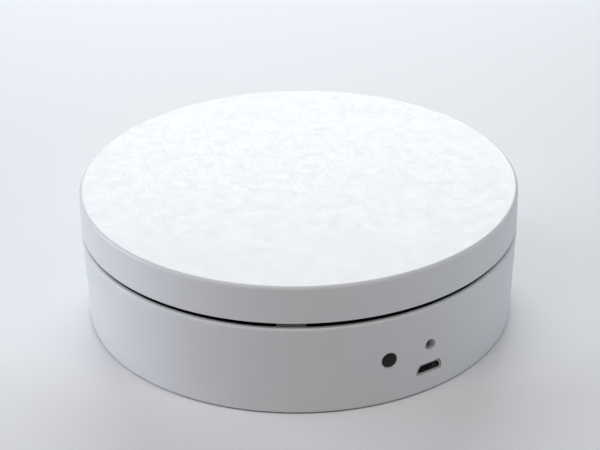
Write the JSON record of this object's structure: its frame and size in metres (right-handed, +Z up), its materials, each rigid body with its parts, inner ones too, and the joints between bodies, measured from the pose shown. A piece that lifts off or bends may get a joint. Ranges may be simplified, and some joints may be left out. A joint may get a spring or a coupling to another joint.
{
  "type": "turntable display stand",
  "caption": "Round motorized display turntable: a white platter on rollers, turned by a geared stepper motor in a round base with a button, status light and charging socket.",
  "frame": {"origin": "middle of the feet, on the surface that the stand rests on, below the platter's axis", "axes": "+Z up along the platter's axis; -Y out of the charging socket and the status light; +X to the right seen from the socket's side"},
  "size_m": [0.12, 0.12, 0.038],
  "materials": {
    "white_abs": "satin",
    "black_abs": "matte",
    "black_nylon": "satin",
    "grey_nylon": "satin",
    "ivory_nylon": "satin",
    "white_nylon": "satin",
    "feet_rubber": "matte",
    "screw_steel": "satin",
    "plated_steel": "satin",
    "stator_steel": "satin",
    "brass": "satin",
    "copper_wire": "gloss",
    "ferrite": "matte",
    "blue_plastic": "satin",
    "board_green": "satin",
    "chip_black": "matte",
    "capacitor_tan": "satin",
    "capacitor_alu": "satin",
    "solder_tin": "satin",
    "contact_gold": "gloss",
    "led_lens": "gloss",
    "cell_wrap": "gloss",
    "nickel": "satin",
    "foam_grey": "matte",
    "wire_red": "satin",
    "wire_black": "satin",
    "wire_blue": "satin",
    "wire_pink": "satin",
    "wire_yellow": "satin",
    "wire_orange": "satin"
  },
  "bodies": {
    "base": {"base_shell": "white_abs", "deck": "black_abs", "deck_screws": "screw_steel", "bottom_cover": "white_abs", "cover_screws": "screw_steel", "rubber_feet": "feet_rubber", "roller_brackets": "grey_nylon", "bracket_screws": "screw_steel", "roller_axles": "plated_steel", "motor_can": "plated_steel", "motor_cover": "plated_steel", "shaft_bushing": "brass", "stator_plates": "stator_steel", "coil_bobbins": "ivory_nylon", "coil_windings": "copper_wire", "gear_plate": "plated_steel", "motor_lead_cap": "blue_plastic", "motor_screws": "screw_steel", "switch_body": "chip_black", "circuit_board": "board_green", "board_screws": "screw_steel", "usb_shell": "plated_steel", "usb_tongue": "chip_black", "usb_contacts": "contact_gold", "status_led": "led_lens", "tinned_leads": "solder_tin", "chips": "chip_black", "chip_capacitors": "capacitor_tan", "can_capacitor": "capacitor_alu", "motor_header": "ivory_nylon", "motor_plug": "white_nylon", "battery_header": "ivory_nylon", "battery_plug": "white_nylon", "battery_cell": "cell_wrap", "battery_tabs": "nickel", "battery_pad": "foam_grey", "battery_wire_red": "wire_red", "battery_wire_black": "wire_black", "motor_wire_blue": "wire_blue", "motor_wire_pink": "wire_pink", "motor_wire_yellow": "wire_yellow", "motor_wire_orange": "wire_orange", "motor_wire_red": "wire_red"},
    "platter": {"platter": "white_abs", "drive_hub": "black_nylon", "hub_screws": "screw_steel", "output_gear": "brass", "output_shaft": "plated_steel"},
    "rotor": {"rotor_magnet": "ferrite", "rotor_pinion": "white_nylon"},
    "first_gear": {"first_gear": "ivory_nylon"},
    "second_gear": {"second_gear": "ivory_nylon"},
    "third_gear": {"third_gear": "ivory_nylon"},
    "roller_front": {"roller_front": "grey_nylon"},
    "roller_right": {"roller_right": "grey_nylon"},
    "roller_left": {"roller_left": "grey_nylon"},
    "button": {"power_button": "black_abs"},
    "switch_plunger": {"switch_plunger": "white_nylon"}
  },
  "joints": [
    {"name": "platter_spin", "type": "hinge", "parent": "base", "child": "platter", "pos_m": [0, 0, 0.02755], "axis": [0, 0, 1], "continuous": true},
    {"name": "rotor_spin", "type": "hinge", "parent": "base", "child": "rotor", "pos_m": [0.008, 0, 0.009], "axis": [0, 0, 1], "continuous": true},
    {"name": "first_gear_spin", "type": "hinge", "parent": "base", "child": "first_gear", "pos_m": [0.01354, 0.00151, 0.015], "axis": [0, 0, 1], "continuous": true},
    {"name": "second_gear_spin", "type": "hinge", "parent": "base", "child": "second_gear", "pos_m": [0.0092, 0.00533, 0.017], "axis": [0, 0, 1], "continuous": true},
    {"name": "third_gear_spin", "type": "hinge", "parent": "base", "child": "third_gear", "pos_m": [0.00308, 0.00533, 0.019], "axis": [0, 0, 1], "continuous": true},
    {"name": "roller_front_spin", "type": "hinge", "parent": "base", "child": "roller_front", "pos_m": [-0.03172, -0.04271, 0.0277], "axis": [-0.5962, -0.8028, 0], "continuous": true},
    {"name": "roller_right_spin", "type": "hinge", "parent": "base", "child": "roller_right", "pos_m": [0.05285, -0.00611, 0.0277], "axis": [0.9934, -0.1149, 0], "continuous": true},
    {"name": "roller_left_spin", "type": "hinge", "parent": "base", "child": "roller_left", "pos_m": [-0.02113, 0.04882, 0.0277], "axis": [-0.3971, 0.9178, 0], "continuous": true},
    {"name": "button_press", "type": "slide", "parent": "base", "child": "button", "axis": [0.2062, 0.9785, 0], "range_m": [0, 0.00035], "stiffness_N_per_m": 300},
    {"name": "switch_press", "type": "slide", "parent": "base", "child": "switch_plunger", "axis": [0.2062, 0.9785, 0], "range_m": [0, 0.00035]}
  ],
  "couplings": [
    {"joint": "rotor_spin", "follows": "platter_spin", "ratio": 63.684},
    {"joint": "first_gear_spin", "follows": "platter_spin", "ratio": -17.911},
    {"joint": "second_gear_spin", "follows": "platter_spin", "ratio": 8.9556},
    {"joint": "third_gear_spin", "follows": "platter_spin", "ratio": -3.1},
    {"joint": "roller_front_spin", "follows": "platter_spin", "ratio": -20},
    {"joint": "roller_right_spin", "follows": "platter_spin", "ratio": -20},
    {"joint": "roller_left_spin", "follows": "platter_spin", "ratio": -20},
    {"joint": "switch_press", "follows": "button_press", "ratio": 1}
  ]
}
